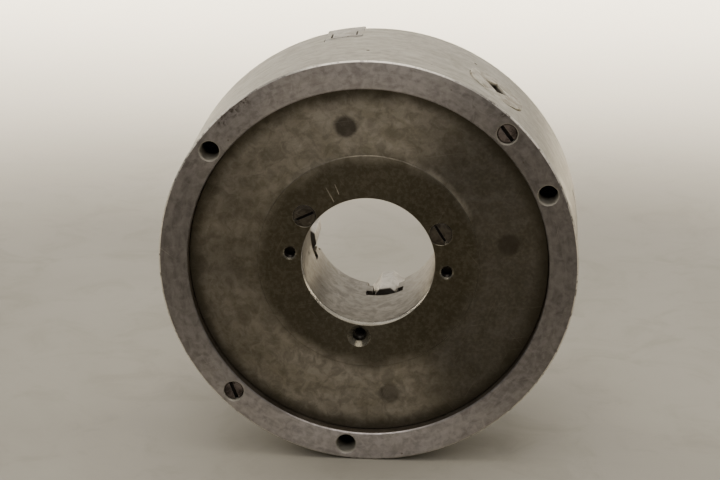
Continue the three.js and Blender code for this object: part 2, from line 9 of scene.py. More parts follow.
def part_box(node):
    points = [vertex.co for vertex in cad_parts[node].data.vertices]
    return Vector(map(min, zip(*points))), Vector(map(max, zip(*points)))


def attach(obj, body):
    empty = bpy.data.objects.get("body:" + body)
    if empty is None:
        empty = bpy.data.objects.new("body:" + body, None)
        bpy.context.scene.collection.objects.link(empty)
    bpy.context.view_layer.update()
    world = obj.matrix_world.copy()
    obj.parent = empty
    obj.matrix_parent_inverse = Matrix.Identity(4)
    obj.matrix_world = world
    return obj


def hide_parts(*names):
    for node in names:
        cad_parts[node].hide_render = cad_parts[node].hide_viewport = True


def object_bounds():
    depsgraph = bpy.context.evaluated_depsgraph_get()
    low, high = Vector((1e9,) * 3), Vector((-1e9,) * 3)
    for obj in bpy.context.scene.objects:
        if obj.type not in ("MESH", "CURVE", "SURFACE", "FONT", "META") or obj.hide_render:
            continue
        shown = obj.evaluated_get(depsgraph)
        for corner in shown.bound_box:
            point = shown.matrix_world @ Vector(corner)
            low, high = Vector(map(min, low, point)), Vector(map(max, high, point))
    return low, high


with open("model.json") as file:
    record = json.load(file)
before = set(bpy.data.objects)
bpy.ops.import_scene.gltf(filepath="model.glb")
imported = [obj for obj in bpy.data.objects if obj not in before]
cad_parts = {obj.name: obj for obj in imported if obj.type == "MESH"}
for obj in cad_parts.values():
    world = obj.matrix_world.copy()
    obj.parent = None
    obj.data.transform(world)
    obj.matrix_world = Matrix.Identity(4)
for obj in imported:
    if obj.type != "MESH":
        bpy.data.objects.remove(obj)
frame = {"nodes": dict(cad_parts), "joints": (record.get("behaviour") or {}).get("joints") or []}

CAD_BOX = [list(corner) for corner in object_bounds()]
MM = 0.001

# ---- Places, from the frame ----


def joint_angle(name):
    """The angle about the spindle axis that a radial joint points to."""
    axis = next(joint for joint in frame["joints"] if joint["name"] == name)["axis"]
    return math.atan2(axis[2], axis[0])


def polar(node):
    """(radius, angle) of the middle of a node that runs along the spindle axis."""
    low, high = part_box(node)
    middle = (low + high) / 2
    return math.hypot(middle.x, middle.z), math.atan2(middle.z, middle.x)


JAW_ANGLES = [joint_angle(f"jaw_{number}_slide") for number in (1, 2, 3, 4)]
PINION_ANGLES = [joint_angle(f"pinion_{number}_spin") for number in (1, 2)]
BODY_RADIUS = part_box("body")[1].x
BODY_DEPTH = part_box("body")[1].y
COVER_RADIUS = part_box("rear_cover")[1].x
COVER_FACE_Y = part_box("rear_cover")[0].y
COVER_BOSS_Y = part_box("rear_cover")[1].y
PINION_LOW, PINION_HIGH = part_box("pinion_1")
PINION_Y = (PINION_LOW.y + PINION_HIGH.y) / 2
FLOOR_Z = CAD_BOX[0][2]

# The rest repeats the CAD part's own dimensions.
BORE_RADIUS = 40 * MM
HUB_RADIUS = 54.2 * MM
CAVITY_RADIUS = 104 * MM
CAVITY_FRONT_Y = 66 * MM
REGISTER_RADIUS = 107.75 * MM
COVER_FRONT_Y = 12.2 * MM
COVER_SEAT_Y = 12.5 * MM
COVER_STEP_RADIUS = 66 * MM
COVER_RIM_Y = 6.5 * MM
MOUNT_HOLES = [math.radians(angle) for angle in (23.6, 143.6, 263.6)]
MOUNT_HOLE_PITCH = 115.7 * MM
COVER_HOLES = [math.radians(angle) for angle in (23.5, 143.5, 263.5)]
JACK_HOLES = [math.radians(angle) for angle in (174, 354)]
COVER_HOLE_PITCH = 47.2 * MM
SLOT_HALF = 11.75 * MM
SLOT_FLOOR_Y = 60 * MM
RIB_HALF = 8.2 * MM
RIB_REAR_Y = 68 * MM
RIB_FRONT_Y = 77.5 * MM
JAW_NOSE_RADIUS = 38 * MM
JAW_FRONT_Y = 100 * MM
SCROLL_TEETH = 70
PINION_TEETH = 10
GEAR_RADIUS = 98 * MM
GEAR_INNER = 79.5 * MM
GEAR_OUTER = 98.5 * MM
BASE_JAW_HALF = 11.45 * MM
TOP_JAW_HALF = 12 * MM
JAW_SCREW_RADII = (73.5 * MM, 106 * MM)

# These belong to the looks alone: where the stains lie, how far below a screw's head its slot
# is painted dark as shade, and the facets of a rounded corner.
STAIN_RADIUS = 84.5 * MM
SLOT_SHADOW = 0.5 * MM
ARC_STEPS = 3

# ---- Mesh tools ----


def new_object(name, bm):
    """Makes an object of a bmesh: smooth faces with crisp edges."""
    bmesh.ops.recalc_face_normals(bm, faces=bm.faces)
    mesh = bpy.data.meshes.new(name)
    bm.to_mesh(mesh)
    bm.free()
    obj = bpy.data.objects.new(name, mesh)
    bpy.context.scene.collection.objects.link(obj)
    crisp(obj)
    return obj


def crisp(obj, degrees=32):
    """Shades an object smooth, but keeps the edges sharper than the angle."""
    bm = bmesh.new()
    bm.from_mesh(obj.data)
    for face in bm.faces:
        face.smooth = True
    for edge in bm.edges:
        edge.smooth = len(edge.link_faces) == 2 and edge.calc_face_angle() < math.radians(degrees)
    bm.to_mesh(obj.data)
    bm.free()


def rounded(corners, radius=0.3 * MM):
    """A closed outline with an arc of a radius at each corner; a corner may give its own radius."""
    points = []
    count = len(corners)
    for index, corner in enumerate(corners):
        here = Vector(corner[:2])
        size = corner[2] if len(corner) > 2 else radius
        before = Vector(corners[index - 1][:2]) - here
        after = Vector(corners[(index + 1) % count][:2]) - here
        half = before.angle(after) / 2
        reach = min(size / math.tan(half), 0.45 * before.length, 0.45 * after.length)
        if size <= 0 or reach < 1e-6:
            points.append(tuple(here))
            continue
        size = reach * math.tan(half)
        centre = here + (before.normalized() + after.normalized()).normalized() * (size / math.sin(half))
        first = here + before.normalized() * reach - centre
        last = here + after.normalized() * reach - centre
        sweep = first.angle_signed(last)
        for step in range(ARC_STEPS + 1):
            turn = -sweep * step / ARC_STEPS
            cosine, sine = math.cos(turn), math.sin(turn)
            spoke = Vector((first.x * cosine - first.y * sine, first.x * sine + first.y * cosine))
            points.append(tuple(centre + spoke))
    return points


def lathe(outline, sides, transform=Matrix.Identity(4)):
    """Turns a closed outline of (radius, y) about the Y axis. Points on the axis become one point."""
    bm = bmesh.new()
    rings = []
    for radius, y in outline:
        if radius < 1e-7:
            rings.append([bm.verts.new(transform @ Vector((0, y, 0)))])
            continue
        ring = []
        for side in range(sides):
            angle = 2 * math.pi * side / sides
            spot = Vector((radius * math.cos(angle), y, radius * math.sin(angle)))
            ring.append(bm.verts.new(transform @ spot))
        rings.append(ring)
    for index, ring in enumerate(rings):
        other = rings[(index + 1) % len(rings)]
        if len(ring) == 1 and len(other) == 1:
            continue
        for side in range(sides):
            following = (side + 1) % sides
            quad = [ring[side % len(ring)], ring[following % len(ring)]]
            quad += [other[following % len(other)], other[side % len(other)]]
            unique = list(dict.fromkeys(quad))
            bm.faces.new(unique)
    return bm


def rectangle(left, right, low, high):
    """The corners of a rectangle of (u, v)."""
    return [(left, low), (right, low), (right, high), (left, high)]


def loft(rings):
    """A closed solid through rings of points that all have the same count."""
    bm = bmesh.new()
    loops = [[bm.verts.new(point) for point in ring] for ring in rings]
    bm.faces.new(loops[0])
    bm.faces.new(loops[-1][::-1])
    for lower, upper in zip(loops, loops[1:]):
        for index in range(len(lower)):
            following = (index + 1) % len(lower)
            bm.faces.new([lower[index], upper[index], upper[following], lower[following]])
    return bm


def prism(outline, low, high, place):
    """A prism of an outline of (u, v) corners between two depths; place turns (u, v, depth) to a point."""
    return loft([[place(u, v, depth) for u, v in outline] for depth in (low, high)])


def directions(angle):
    """The unit vectors outwards along the radial line at an angle, and across it."""
    return Vector((math.cos(angle), 0, math.sin(angle))), Vector((-math.sin(angle), 0, math.cos(angle)))


def radial_place(angle):
    """Places (across, y, radius) on the radial line at an angle."""
    out, across = directions(angle)
    return lambda u, v, depth: out * depth + across * u + Vector((0, v, 0))


def plan_place(angle):
    """Places (radius, across, y): an outline drawn in plan and raised along the spindle axis."""
    out, across = directions(angle)
    return lambda u, v, depth: out * u + across * v + Vector((0, depth, 0))


def side_place(angle):
    """Places (radius, y, across): an outline seen from the side of a radial line."""
    out, across = directions(angle)
    return lambda u, v, depth: out * u + across * depth + Vector((0, v, 0))


def upright(radius, angle):
    """The transform that moves a turned piece onto a line parallel to the spindle axis."""
    place = (radius * math.cos(angle), 0, radius * math.sin(angle))
    return Matrix.Translation(place) @ Matrix.Rotation(-angle, 4, "Y")


def pointing_out(angle, y):
    """The transform that lays a turned piece's axis along the radial line at an angle and a height."""
    out, across = directions(angle)
    turn = Matrix((across, out, across.cross(out))).transposed().to_4x4()
    return Matrix.Translation((0, y, 0)) @ turn


def boolean(obj, cutters, operation="DIFFERENCE"):
    """Cuts or joins other objects, one after the other, and removes them."""
    for cutter in cutters:
        modifier = obj.modifiers.new("cut", "BOOLEAN")
        modifier.operation = operation
        modifier.solver = "MANIFOLD"
        modifier.object = cutter
    apply_modifiers(obj)
    for cutter in cutters:
        mesh = cutter.data
        bpy.data.objects.remove(cutter)
        bpy.data.meshes.remove(mesh)
    return obj


def apply_modifiers(obj):
    """Makes the evaluated mesh the object's own."""
    graph = bpy.context.evaluated_depsgraph_get()
    mesh = bpy.data.meshes.new_from_object(obj.evaluated_get(graph))
    old = obj.data
    obj.modifiers.clear()
    obj.data = mesh
    bpy.data.meshes.remove(old)
    mesh.name = obj.name


def ease_edges(obj, width):
    """Rounds every sharp edge."""
    modifier = obj.modifiers.new("ease", "BEVEL")
    modifier.width = width
    modifier.segments = 2
    modifier.limit_method = "ANGLE"
    modifier.angle_limit = math.radians(35)
    modifier.use_clamp_overlap = True
    apply_modifiers(obj)
    crisp(obj)
    return obj


def threaded(minor, major, pitch, y_start, y_end, mouth=0.0):
    """The outline of a tapped hole that opens at y_start, with a small countersink at its mouth."""
    outline = [(0, y_start - 2 * MM), (major + mouth, y_start - 2 * MM), (major + mouth, y_start)]
    y = y_start + mouth + 0.4 * MM
    outline.append((minor, y))
    while y + pitch < y_end:
        outline += [(minor, y + 0.2 * pitch), (major, y + 0.5 * pitch)]
        outline += [(major, y + 0.6 * pitch), (minor, y + 0.9 * pitch)]
        y += pitch
    return outline + [(minor, y_end), (0, y_end + 0.5 * minor)]


def cutter(outline, radius, angle, sides=40):
    """A turned cutter that stands on a line parallel to the spindle axis."""
    return new_object("cutter", lathe(outline, sides, transform=upright(radius, angle)))


# ---- The body ----


def jaw_slot(angle):
    """The T-shaped guide of one jaw, wider at the front face where the edge is broken."""
    lip = 0.5 * MM
    half = [
        (SLOT_HALF, SLOT_FLOOR_Y),
        (SLOT_HALF, RIB_REAR_Y),
        (RIB_HALF, RIB_REAR_Y),
        (RIB_HALF, RIB_FRONT_Y),
        (SLOT_HALF, RIB_FRONT_Y),
        (SLOT_HALF, BODY_DEPTH - lip),
        (SLOT_HALF + lip, BODY_DEPTH),
        (SLOT_HALF + lip, BODY_DEPTH + 2 * MM),
    ]
    outline = half + [(-across, y) for across, y in half[::-1]]
    bm = prism(outline, BORE_RADIUS - 8 * MM, BODY_RADIUS + 2 * MM, radial_place(angle))
    return new_object("cutter", bm)


def punch_mark(angle, y):
    """A shallow cone, as a centre punch leaves it in the outside of the body."""
    cone = [(0, BODY_RADIUS - 1.4 * MM), (1.7 * MM, BODY_RADIUS + 0.3 * MM), (0, BODY_RADIUS + 0.3 * MM)]
    return new_object("cutter", lathe(cone, 16, transform=pointing_out(angle, y)))


def scribed_line(degrees, start, end, depth):
    """A fine line scratched in the cover's inner face along a radius, from start to end."""
    half = 0.24 * MM
    outline = [(start, -half), (end, -half / 2), (end, half / 2), (start, half)]
    place = plan_place(math.radians(degrees))
    return new_object("cutter", prism(outline, COVER_FACE_Y - 1 * MM, COVER_FACE_Y + depth, place))


def make_body():
    """The turned body with its jaw guides, tapped holes, pinion pockets and oil hole."""
    outline = rounded([
        (BORE_RADIUS, COVER_SEAT_Y),
        (HUB_RADIUS, COVER_SEAT_Y),
        (HUB_RADIUS, CAVITY_FRONT_Y),
        (CAVITY_RADIUS, CAVITY_FRONT_Y),
        (CAVITY_RADIUS, COVER_SEAT_Y),
        (REGISTER_RADIUS, COVER_SEAT_Y),
        (REGISTER_RADIUS, 0.7 * MM),
        (REGISTER_RADIUS + 0.7 * MM, 0),
        (BODY_RADIUS - 1.0 * MM, 0),
        (BODY_RADIUS, 1.0 * MM),
        (BODY_RADIUS, BODY_DEPTH - 2 * MM),
        (BODY_RADIUS - 2 * MM, BODY_DEPTH),
        (BORE_RADIUS + 3 * MM, BODY_DEPTH),
        (BORE_RADIUS, BODY_DEPTH - 3 * MM),
    ], 0.35 * MM)
    body = new_object("chuck_body", lathe(outline, 240))
    cutters = [jaw_slot(angle) for angle in JAW_ANGLES]
    for angle in MOUNT_HOLES:
        thread = threaded(5.9 * MM, 6.2 * MM, 1.75 * MM, 0, 24 * MM, 0.3 * MM)
        cutters.append(cutter(thread, MOUNT_HOLE_PITCH, angle))
    for angle in COVER_HOLES:
        thread = threaded(3.4 * MM, 4 * MM, 1.25 * MM, COVER_SEAT_Y, 34 * MM)
        cutters.append(cutter(thread, COVER_HOLE_PITCH, angle))
    for number in (1, 2):
        radius, angle = polar(f"pinion_screw_{number}")
        thread = threaded(6.05 * MM, 6.3 * MM, 1.75 * MM, 0, 11 * MM, 0.3 * MM)
        cutters.append(cutter(thread, radius, angle))
        dog_hole = [(0, 10 * MM), (4.4 * MM, 10 * MM), (4.4 * MM, 45 * MM), (0, 45 * MM)]
        cutters.append(cutter(dog_hole, radius, angle))
    for angle in PINION_ANGLES:
        pocket = rounded([
            (0, 100 * MM, 0),
            (17 * MM, 100 * MM, 0),
            (17 * MM, 109.5 * MM, 0),
            (19.3 * MM, 109.5 * MM, 0),
            (19.3 * MM, BODY_RADIUS + 3 * MM, 0),
            (0, BODY_RADIUS + 3 * MM, 0),
        ])
        cutters.append(new_object("cutter", lathe(pocket, 96, transform=pointing_out(angle, PINION_Y))))
    oil_hole = [(0, 38 * MM), (1.3 * MM, 38 * MM), (1.3 * MM, 56 * MM), (0, 56 * MM)]
    oil_transform = pointing_out(math.radians(191), 44 * MM)
    cutters.append(new_object("cutter", lathe(oil_hole, 20, transform=oil_transform)))
    for degrees, y in ((90.75, 26 * MM), (129.4, 82 * MM), (61, 62 * MM)):
        cutters.append(punch_mark(math.radians(degrees), y))
    boolean(body, cutters)
    crisp(body)
    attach(body, "chuck_body")
    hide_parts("body")
    return body


def make_cover():
    """The sunk rear cover with its three countersunk holes, two jacking holes and scribed lines."""
    outline = rounded([
        (BORE_RADIUS + 0.1 * MM, COVER_FACE_Y, 0.25 * MM),
        (COVER_STEP_RADIUS, COVER_FACE_Y, 0.2 * MM),
        (COVER_STEP_RADIUS + 0.5 * MM, COVER_RIM_Y, 0.1 * MM),
        (COVER_RADIUS, COVER_RIM_Y, 0.4 * MM),
        (COVER_RADIUS, COVER_FRONT_Y),
        (76 * MM, COVER_FRONT_Y),
        (76 * MM, COVER_BOSS_Y),
        (54.9 * MM, COVER_BOSS_Y),
        (54.9 * MM, COVER_FRONT_Y),
        (BORE_RADIUS + 0.1 * MM, COVER_FRONT_Y),
    ])
    cover = new_object("cover_plate", lathe(outline, 240))
    cutters = []
    for angle in COVER_HOLES:
        hole = [
            (0, COVER_FACE_Y - 1 * MM),
            (7.0 * MM, COVER_FACE_Y - 1 * MM),
            (7.0 * MM, COVER_FACE_Y + 0.3 * MM),
            (4.3 * MM, COVER_FACE_Y + 3.2 * MM),
            (4.3 * MM, COVER_FRONT_Y + 2 * MM),
            (0, COVER_FRONT_Y + 2 * MM),
        ]
        cutters.append(cutter(hole, COVER_HOLE_PITCH, angle, 56))
    for angle in JACK_HOLES:
        thread = threaded(3.4 * MM, 4 * MM, 1.25 * MM, COVER_FACE_Y, 15 * MM, 0.5 * MM)
        cutters.append(cutter(thread, COVER_HOLE_PITCH, angle))
    cutters.append(scribed_line(118.4, 42.5 * MM, 52.5 * MM, 0.4 * MM))
    cutters.append(scribed_line(112.2, 45.5 * MM, 52 * MM, 0.3 * MM))
    boolean(cover, cutters)
    crisp(cover)
    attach(cover, "chuck_body")
    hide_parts("rear_cover")
    return cover


# ---- Screws ----


def slotted_screw(name, node, outline, slot_width, slot_depth, slot_degrees):
    """A screw with a driver slot, standing where its CAD node stands."""
    radius, angle = polar(node)
    head_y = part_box(node)[0].y
    screw = new_object(name, lathe(outline, 56, transform=upright(radius, angle)))
    place = plan_place(math.radians(slot_degrees))
    centre = Vector((radius * math.cos(angle), 0, radius * math.sin(angle)))
    half_width = slot_width / 2
    slot = rectangle(-20 * MM, 20 * MM, -half_width, half_width)
    depths = (head_y - 2 * MM, head_y + slot_depth)
    bm = prism(slot, *depths, lambda u, v, depth: place(u, v, depth) + centre)
    boolean(screw, [new_object("cutter", bm)])
    ease_edges(screw, 0.18 * MM)
    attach(screw, "chuck_body")
    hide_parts(node)
    return screw


def make_cover_screw(number, slot_degrees):
    """A countersunk screw with a low domed head."""
    y = COVER_FACE_Y + 0.1 * MM
    outline = [
        (0, y - 0.1 * MM),
        (3.5 * MM, y - 0.05 * MM),
        (6.2 * MM, y + 0.12 * MM),
        (6.65 * MM, y + 0.35 * MM),
        (6.6 * MM, y + 0.7 * MM),
        (3.8 * MM, y + 3.6 * MM),
        (3.8 * MM, y + 23.5 * MM),
        (3 * MM, y + 24 * MM),
        (0, y + 24 * MM),
    ]
    name = f"cover_screw_slotted_{number}"
    return slotted_screw(name, f"cover_screw_{number}", outline, 1.7 * MM, 1.9 * MM, slot_degrees)


def make_pinion_screw(number, slot_degrees):
    """A grub screw with a long dog point, which holds a pinion by its neck."""
    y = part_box(f"pinion_screw_{number}")[0].y
    outline = [
        (0, y),
        (5.2 * MM, y + 0.05 * MM),
        (5.95 * MM, y + 0.6 * MM),
        (5.95 * MM, y + 9.1 * MM),
        (4 * MM, y + 9.5 * MM),
        (4 * MM, y + 42 * MM),
        (3.5 * MM, y + 42.5 * MM),
        (0, y + 42.5 * MM),
    ]
    name = f"pinion_grub_screw_{number}"
    return slotted_screw(name, f"pinion_screw_{number}", outline, 2.3 * MM, 2.6 * MM, slot_degrees)


# ---- Pinions ----


def gear_outline():
    """The pinion's teeth at its pitch radius, narrower at their tips."""
    pitch = GEAR_RADIUS * PINION_TEETH / SCROLL_TEETH
    profile = ((-2.1, -2.4), (-1.5, 0), (-0.85, 1.8), (0.85, 1.8), (1.5, 0), (2.1, -2.4))
    points = []
    for tooth in range(PINION_TEETH):
        turn = math.pi / 2 + 2 * math.pi * tooth / PINION_TEETH
        for across, out in profile:
            reach, aside = pitch + out * MM, across * MM
            x = reach * math.cos(turn) - aside * math.sin(turn)
            y = reach * math.sin(turn) + aside * math.cos(turn)
            points.append((x, y))
    return points


def tapered(outline, levels, place):
    """A solid about a pinion's axis that has the outline at a different size at each (depth, size)."""
    rings = []
    for depth, size in levels:
        rings.append([place(u * size, PINION_Y + v * size, depth) for u, v in outline])
    return new_object("cutter", loft(rings))


def make_pinion(number):
    """A pinion: bevel teeth, stem, head and key socket on one radial line."""
    angle = PINION_ANGLES[number - 1]
    transform = pointing_out(angle, PINION_Y)
    outline = [
        (0, 94 * MM, 0),
        (10.4 * MM, 94 * MM, 0),
        (11.4 * MM, 98.5 * MM, 0),
        (11.4 * MM, 104.3 * MM),
        (16.4 * MM, 104.3 * MM),
        (16.4 * MM, 110.2 * MM),
        (11.5 * MM, 110.2 * MM),
        (11.5 * MM, 120.6 * MM),
        (19 * MM, 120.6 * MM),
        (19 * MM, 124.9 * MM, 0),
        (18.7 * MM, 125.15 * MM, 0.15 * MM),
        (12 * MM, 125.3 * MM, 2 * MM),
        (0, 125.35 * MM, 0),
    ]
    pinion = new_object(f"pinion_head_{number}", lathe(rounded(outline), 96, transform=transform))
    place = radial_place(angle)
    levels = [(depth, depth / GEAR_RADIUS) for depth in (GEAR_INNER, GEAR_OUTER)]
    boolean(pinion, [tapered(gear_outline(), levels, place)], "UNION")
    # The key socket: a square on its corner, wider at the worn mouth.
    diamond = [(0, 1), (-1, 0), (0, -1), (1, 0)]
    reach = 6.1 * MM * math.sqrt(2)
    mouth = reach + 0.7 * MM
    levels = ((105 * MM, reach), (124.6 * MM, reach), (125.6 * MM, mouth), (128 * MM, mouth))
    boolean(pinion, [tapered(diamond, levels, place)])
    ease_edges(pinion, 0.25 * MM)
    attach(pinion, "pinion_a" if number == 1 else "pinion_b")
    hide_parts(f"pinion_{number}")
    return pinion


# ---- Jaws ----


def nose_plan(nose, half_nose, half, end):
    """The plan of a jaw: a flat nose with 45 degree flanks, closed by the points of its outer end."""
    shoulder = nose + half - half_nose
    return [(shoulder, half), (nose, half_nose), (nose, -half_nose), (shoulder, -half)] + end


def make_base_jaw(number):
    """The lower jaw, which slides on the guide ribs and carries the scroll teeth."""
    angle = JAW_ANGLES[number - 1]
    half = BASE_JAW_HALF
    neck = 7.1 * MM
    web_y = 65.7 * MM
    sweep = math.asin(half / BODY_RADIUS)
    end = []
    for step in range(13):
        turn = -sweep + 2 * sweep * step / 12
        end.append((BODY_RADIUS * math.cos(turn), BODY_RADIUS * math.sin(turn)))
    plan_outline = nose_plan(JAW_NOSE_RADIUS, 3.4 * MM, half, end)
    blank = prism(plan_outline, 60.8 * MM, JAW_FRONT_Y, plan_place(angle))
    jaw = new_object(f"base_jaw_master_{number}", blank)

    # The section keeps the web, the neck between the guide ribs and the upper body.
    wide = half + 1 * MM
    section = [
        (wide, web_y),
        (wide, RIB_REAR_Y - 0.3 * MM),
        (neck, RIB_REAR_Y - 0.3 * MM),
        (neck, RIB_FRONT_Y + 0.3 * MM),
        (wide, RIB_FRONT_Y + 0.3 * MM),
        (wide, JAW_FRONT_Y + 1 * MM),
    ]
    outline = section + [(-across, y) for across, y in section[::-1]]
    rail = new_object("cutter", prism(outline, 30 * MM, 130 * MM, radial_place(angle)))
    for tooth in jaw_teeth(angle, half):
        boolean(rail, [tooth], "UNION")
    boolean(jaw, [rail], "INTERSECT")

    bevel = [
        (118 * MM, 100 * MM),
        (125 * MM, 89 * MM),
        (130 * MM, 89 * MM),
        (130 * MM, 104 * MM),
        (118 * MM, 104 * MM),
    ]
    cutters = [new_object("cutter", prism(bevel, -15 * MM, 15 * MM, side_place(angle)))]
    tongue = rectangle(63 * MM, 116 * MM, -3.97 * MM, 3.97 * MM)
    boolean(jaw, [new_object("cutter", prism(tongue, 98 * MM, 103 * MM, plan_place(angle)))], "UNION")
    key = rectangle(83.65 * MM, 96.35 * MM, 97 * MM, 105 * MM)
    cutters.append(new_object("cutter", prism(key, -15 * MM, 15 * MM, side_place(angle))))
    for radius in JAW_SCREW_RADII:
        hole = [(0, 82 * MM), (5.3 * MM, 82 * MM), (5.3 * MM, 105 * MM), (0, 105 * MM)]
        cutters.append(cutter(hole, radius, angle, 32))
    boolean(jaw, cutters)
    ease_edges(jaw, 0.35 * MM)
    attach(jaw, f"jaw_{number}")
    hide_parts(f"base_jaw_{number}")
    return jaw


def jaw_teeth(angle, half):
    """The scroll teeth of a jaw: short lengths of the spiral, one pitch apart."""
    pitch = 10 * MM
    first = 50 * MM + pitch * (angle % (2 * math.pi)) / (2 * math.pi)
    radius = first - pitch
    while radius < BODY_RADIUS + 1 * MM:
        if radius > JAW_NOSE_RADIUS + 9 * MM:
            reach = math.asin((half + 1 * MM) / radius)
            outer, inner = [], []
            for step in range(9):
                turn = reach * (step / 4 - 1)
                middle = radius + pitch * turn / (2 * math.pi)
                outer.append(((middle + 1.9 * MM) * math.cos(turn), (middle + 1.9 * MM) * math.sin(turn)))
                inner.append(((middle - 1.9 * MM) * math.cos(turn), (middle - 1.9 * MM) * math.sin(turn)))
            yield new_object("cutter", prism(outer + inner[::-1], 60.8 * MM, 66.2 * MM, plan_place(angle)))
        radius += pitch


def make_top_jaw(number):
    """The stepped upper jaw, keyed and screwed to the lower one."""
    angle = JAW_ANGLES[number - 1]
    half = TOP_JAW_HALF
    seat = 100.3 * MM
    end = [(115 * MM, -half), (117 * MM, -half + 2 * MM), (117 * MM, half - 2 * MM), (115 * MM, half)]
    plan_outline = nose_plan(62 * MM, 3.5 * MM, half, end)
    jaw = new_object(f"top_jaw_stepped_{number}", prism(plan_outline, seat, 142 * MM, plan_place(angle)))
    steps = [
        (83 * MM, 143 * MM),
        (83 * MM, 130 * MM),
        (97 * MM, 130 * MM),
        (97 * MM, 118 * MM),
        (120 * MM, 118 * MM),
        (120 * MM, 143 * MM),
    ]
    groove = rectangle(60 * MM, 119 * MM, -4.27 * MM, 4.27 * MM)
    boolean(jaw, [
        new_object("cutter", prism(steps, -15 * MM, 15 * MM, side_place(angle))),
        new_object("cutter", prism(groove, 98 * MM, 103.3 * MM, plan_place(angle))),
    ])
    key = rectangle(83.95 * MM, 96.05 * MM, -11.4 * MM, 11.4 * MM)
    boolean(jaw, [new_object("cutter", prism(key, 97.3 * MM, 104 * MM, plan_place(angle)))], "UNION")
    cutters = []
    for radius in JAW_SCREW_RADII:
        hole = [(0, 95 * MM), (5.6 * MM, 95 * MM), (5.6 * MM, 107.5 * MM)]
        hole += [(8.4 * MM, 107.5 * MM), (8.4 * MM, 145 * MM), (0, 145 * MM)]
        cutters.append(cutter(hole, radius, angle, 48))
    boolean(jaw, cutters)
    ease_edges(jaw, 0.4 * MM)
    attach(jaw, f"jaw_{number}")
    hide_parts(f"top_jaw_{number}")
    return jaw


def make_cap_screw(number, end):
    """A hexagon socket cap screw with a knurled head."""
    node = f"jaw_screw_{number}_{end}"
    low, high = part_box(node)
    radius, angle = polar(node)
    transform = upright(radius, angle)
    flutes = 36
    head_y, top_y = high.y - 10 * MM, high.y
    levels = (
        (head_y, 7.2),
        (head_y + 0.4 * MM, 7.7),
        (top_y - 1.5 * MM, 7.7),
        (top_y - 1.2 * MM, 7.6),
        (top_y - 0.5 * MM, 7.5),
        (top_y, 6.9),
    )
    loops = []
    for level, (y, size) in enumerate(levels):
        loop = []
        for step in range(2 * flutes):
            groove = 0.22 if step % 2 and level in (1, 2) else 0
            turn = math.pi * step / flutes
            reach = (size - groove) * MM
            loop.append(transform @ Vector((reach * math.cos(turn), y, reach * math.sin(turn))))
        loops.append(loop)
    screw = new_object(f"cap_screw_{number}_{end}", loft(loops))
    shank = [(0, low.y), (4.4 * MM, low.y), (4.9 * MM, low.y + 0.6 * MM)]
    shank += [(4.9 * MM, head_y + 1 * MM), (0, head_y + 1 * MM)]
    boolean(screw, [cutter(shank, radius, angle, 40)], "UNION")
    hexagon = [(0, top_y - 5 * MM), (4.62 * MM, top_y - 5 * MM), (4.62 * MM, top_y - 0.4 * MM)]
    hexagon += [(5.1 * MM, top_y + 1 * MM), (0, top_y + 1 * MM)]
    boolean(screw, [cutter(hexagon, radius, angle, 6)])
    crisp(screw, 30)
    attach(screw, f"jaw_{number}")
    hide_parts(node)
    return screw


# ---- Build ----

pieces = {"body": make_body(), "cover": make_cover()}
pieces["cover_screws"] = [make_cover_screw(1, -58), make_cover_screw(2, 25)]
pieces["pinion_screws"] = [make_pinion_screw(1, -53), make_pinion_screw(2, -69)]
pieces["pinions"] = [make_pinion(1), make_pinion(2)]
pieces["base_jaws"] = [make_base_jaw(number) for number in (1, 2, 3, 4)]
pieces["top_jaws"] = [make_top_jaw(number) for number in (1, 2, 3, 4)]
pieces["cap_screws"] = [
    make_cap_screw(number, end) for number in (1, 2, 3, 4) for end in ("inner", "outer")
]

# ---- Materials ----


